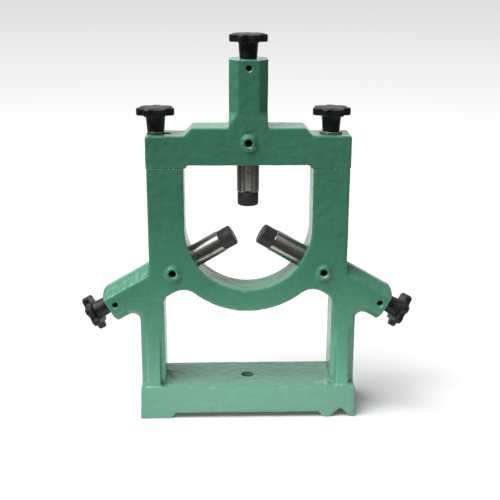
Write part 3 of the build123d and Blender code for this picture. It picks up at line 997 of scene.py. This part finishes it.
material, tree, shader = new_material("pale_floor")
tree.links.new(mixed(tree, shown_rays(tree), FLOOR_LIGHT, FLOOR_SHOWN), shader.inputs["Base Color"])
shader.inputs["Roughness"].default_value = 0.9
shader.inputs["Specular IOR Level"].default_value = 0.0
floor.data.materials.append(material)
print("floor", [round(v, 2) for v in floor.dimensions])

# %% [markdown]
# The broad light is a sun with a wide spread, and the low light is a strip that reflections don't show.
# The world lights the scene evenly and weakly, and looks different to the camera and in reflections.

# %% Light
SUN_DIRECTION = Vector((-0.43, -0.17, 0.88))
SUN_STRENGTH = 3.6
SUN_SPREAD = 50.0
LOW_LIGHT_PLACE = Vector((0.0, -0.24, 0.03))
LOW_LIGHT_TARGET = Vector((0.0, 0.0, 0.08))
LOW_LIGHT_SIZE = (0.5, 0.06)
LOW_LIGHT_WATTS = 0.36
SKY_LIGHT = 0.165
SKY_FRONT = 0.12
SKY_REAR = (0.5, 0.95)
SKY_ABOVE = (0.35, 0.85)
SKY_FADE = (-0.16, -0.03)
SKY_FAR = 0.72


def aimed(name, data, direction, place):
    """A light at a place that shines along a direction and isn't seen itself."""
    light = bpy.data.objects.new(name, data)
    light.location = place
    light.rotation_mode = "QUATERNION"
    light.rotation_quaternion = direction.to_track_quat("-Z", "Y")
    light.visible_camera = False
    bpy.context.scene.collection.objects.link(light)
    return light


sun = bpy.data.lights.new("overhead", "SUN")
sun.energy = SUN_STRENGTH
sun.angle = math.radians(SUN_SPREAD)
aimed("overhead", sun, -SUN_DIRECTION, Vector((0, 0, 2)))
strip = bpy.data.lights.new("low_front", "AREA")
strip.shape = "RECTANGLE"
strip.size, strip.size_y = LOW_LIGHT_SIZE
strip.energy = LOW_LIGHT_WATTS
low_front = aimed("low_front", strip, LOW_LIGHT_TARGET - LOW_LIGHT_PLACE, LOW_LIGHT_PLACE)
low_front.visible_glossy = False

world = bpy.data.worlds.new("studio")
bpy.context.scene.world = world
world.use_nodes = True
tree = world.node_tree
place = tree.nodes.new("ShaderNodeTexCoord")
parts = tree.nodes.new("ShaderNodeSeparateXYZ")
tree.links.new(place.outputs["Generated"], parts.inputs["Vector"])


def sky_part(output, span, low, high):
    """Brightness that changes with a direction's part along one axis."""
    node = tree.nodes.new("ShaderNodeMapRange")
    node.inputs["From Min"].default_value, node.inputs["From Max"].default_value = span
    node.inputs["To Min"].default_value = low
    node.inputs["To Max"].default_value = high
    tree.links.new(parts.outputs[output], node.inputs["Value"])
    return node.outputs["Result"]


def chosen(mask, first, second):
    """One of two brightnesses by a mask; the first may be a number or an output."""
    node = tree.nodes.new("ShaderNodeMix")
    tree.links.new(mask, node.inputs["Factor"])
    if isinstance(first, bpy.types.NodeSocket):
        tree.links.new(first, node.inputs["A"])
    else:
        node.inputs["A"].default_value = first
    tree.links.new(second, node.inputs["B"])
    return node.outputs["Result"]


mirrored = greater(tree, sky_part("Y", SKY_REAR, SKY_FRONT, 1.0), sky_part("Z", SKY_ABOVE, SKY_FRONT, 1.0))
paths = tree.nodes.new("ShaderNodeLightPath")
seen = chosen(paths.outputs["Is Camera Ray"], mirrored, sky_part("Z", SKY_FADE, 1.0, SKY_FAR))
strength = chosen(shown_rays(tree), SKY_LIGHT, seen)
tree.links.new(strength, tree.nodes["Background"].inputs["Strength"])
tree.nodes["Background"].inputs["Color"].default_value = (1.0, 1.0, 1.0, 1.0)
print("lights", sun.name, strip.name, world.name)

# %% [markdown]
# The camera stands where the photograph was taken: a little to the left and above, 1.5 m away.

# %% Camera
VIEW_AZIMUTH = -1.80
VIEW_ELEVATION = 17.16
VIEW_DISTANCE = 1.5003
VIEW_ROLL = 0.19
VIEW_TARGET = Vector((3.52 * MM, 0, 274.35 * MM))
FOCAL_LENGTH = 66.615
SENSOR_WIDTH = 36.0

azimuth = math.radians(VIEW_AZIMUTH)
elevation = math.radians(VIEW_ELEVATION)
back = Vector((
    math.sin(azimuth) * math.cos(elevation),
    -math.cos(azimuth) * math.cos(elevation),
    math.sin(elevation),
))
camera_data = bpy.data.cameras.new("camera")
camera_data.lens = FOCAL_LENGTH
camera_data.sensor_width = SENSOR_WIDTH
camera = bpy.data.objects.new("camera", camera_data)
bpy.context.scene.collection.objects.link(camera)
camera.location = VIEW_TARGET + back * VIEW_DISTANCE
camera.rotation_mode = "QUATERNION"
roll = Quaternion((0, 0, 1), math.radians(VIEW_ROLL))
camera.rotation_quaternion = (-back).to_track_quat("-Z", "Y") @ roll
bpy.context.scene.camera = camera
bpy.context.scene.view_settings.view_transform = "Standard"
print("camera at", [round(v, 3) for v in camera.location])
